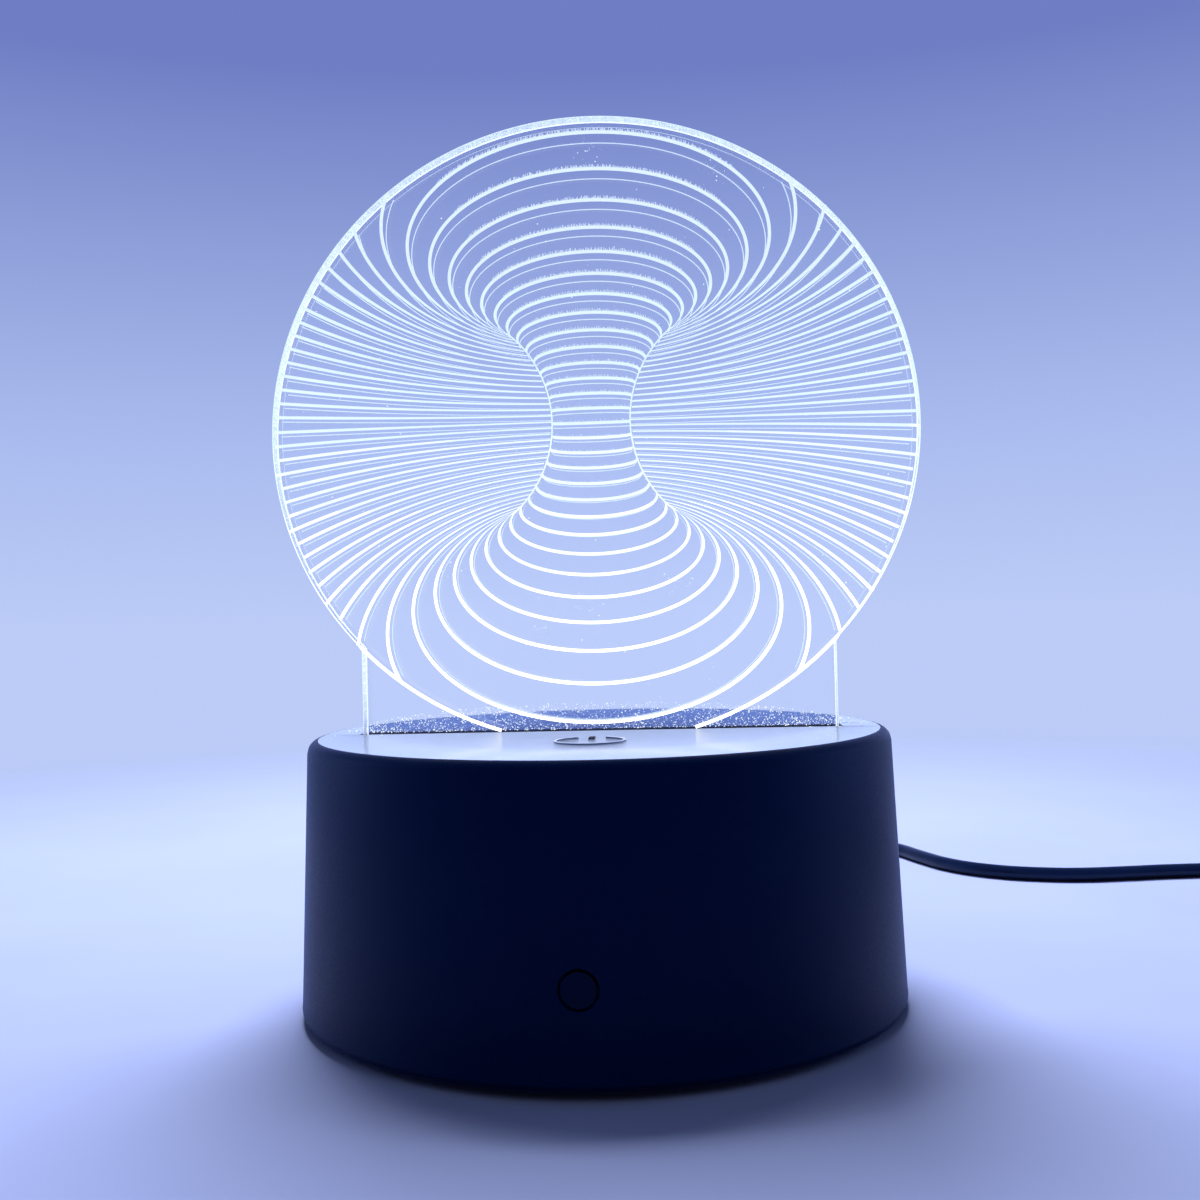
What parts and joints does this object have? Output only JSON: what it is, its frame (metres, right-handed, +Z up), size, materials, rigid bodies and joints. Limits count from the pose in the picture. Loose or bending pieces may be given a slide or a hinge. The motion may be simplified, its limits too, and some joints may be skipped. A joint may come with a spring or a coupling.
{
  "type": "illusion lamp",
  "caption": "Edge-lit clear plate with an engraved ring-surface line figure, standing in a round black touch base with a plug-in lead and a battery bay.",
  "frame": {"origin": "on the table, under the middle of the round base", "axes": "+Z up, -Y towards the viewer and the touch symbol, +Y out of the power socket, +X to the viewer's right along the plate"},
  "size_m": [0.2295, 0.1677, 0.129],
  "materials": {
    "base_black": "fine moulded satin, cool black",
    "cover_black": "fine moulded matte",
    "foot_rubber": "matte",
    "clear_acrylic": "polished faces, laser-cut edge",
    "white_plastic": "satin",
    "control_board_green": "solder mask",
    "strip_board_white": "solder mask",
    "led_package": "moulded",
    "chip_black": "moulded",
    "smoked_window": "polished",
    "nickel_plate": "plated sheet",
    "screw_steel": "zinc plated",
    "symbol_print": "pad printed",
    "tie_black": "woven",
    "hookup_wire": "insulation",
    "cable_black": "soft satin sheath"
  },
  "bodies": {
    "base": {"base_shell": "base_black", "bottom_cover": "cover_black", "rubber_foot_1": "foot_rubber", "rubber_foot_2": "foot_rubber", "rubber_foot_3": "foot_rubber", "rubber_foot_4": "foot_rubber", "cover_screw_1": "screw_steel", "cover_screw_2": "screw_steel", "cover_screw_3": "screw_steel", "cover_screw_4": "screw_steel", "led_board_screw_1": "screw_steel", "led_board_screw_2": "screw_steel", "control_board_screw_1": "screw_steel", "control_board_screw_2": "screw_steel", "power_board_screw_1": "screw_steel", "power_board_screw_2": "screw_steel", "touch_symbol_ring": "symbol_print", "touch_symbol_bar": "symbol_print", "plate_channel": "white_plastic", "led_board": "strip_board_white", "led_1": "led_package", "led_2": "led_package", "led_3": "led_package", "led_4": "led_package", "led_5": "led_package", "led_6": "led_package", "control_board": "control_board_green", "power_board": "control_board_green", "touch_chip": "chip_black", "ir_receiver": "chip_black", "power_socket_tongue": "chip_black", "touch_spring": "nickel_plate", "power_socket": "nickel_plate", "battery_plate_negative": "nickel_plate", "battery_plate_positive": "nickel_plate", "battery_bridge_1": "nickel_plate", "battery_bridge_2": "nickel_plate", "battery_spring_1": "nickel_plate", "battery_spring_2": "nickel_plate", "battery_spring_3": "nickel_plate", "ir_window": "smoked_window", "led_lead": "hookup_wire", "ir_lead": "hookup_wire", "power_lead": "hookup_wire", "battery_lead_negative": "hookup_wire", "battery_lead_positive": "hookup_wire"},
    "plate": {"acrylic_plate": "clear_acrylic"},
    "door": {"battery_door": "cover_black"},
    "usb_lead": {"plug_shell": "nickel_plate", "plug_body": "cable_black", "plug_strain_relief": "cable_black", "usb_cable": "cable_black", "cable_coil": "cable_black", "cable_tail": "cable_black", "cable_tie": "tie_black", "usb_strain_relief": "cable_black", "usb_plug_body": "cable_black", "usb_plug_shell": "nickel_plate", "usb_plug_tongue": "white_plastic"}
  },
  "joints": [
    {"name": "plate_lift", "type": "slide", "parent": "base", "child": "plate", "axis": [0, 0, 1], "range_m": [0, 0.016]},
    {"name": "plug_pull", "type": "slide", "parent": "base", "child": "usb_lead", "axis": [0, 1, 0], "range_m": [0, 0.012]},
    {"name": "door_tip", "type": "hinge", "parent": "base", "child": "door", "pos_m": [-0.02975, 0, 0.0008], "axis": [0, 1, 0], "range_deg": [0, 60]}
  ]
}
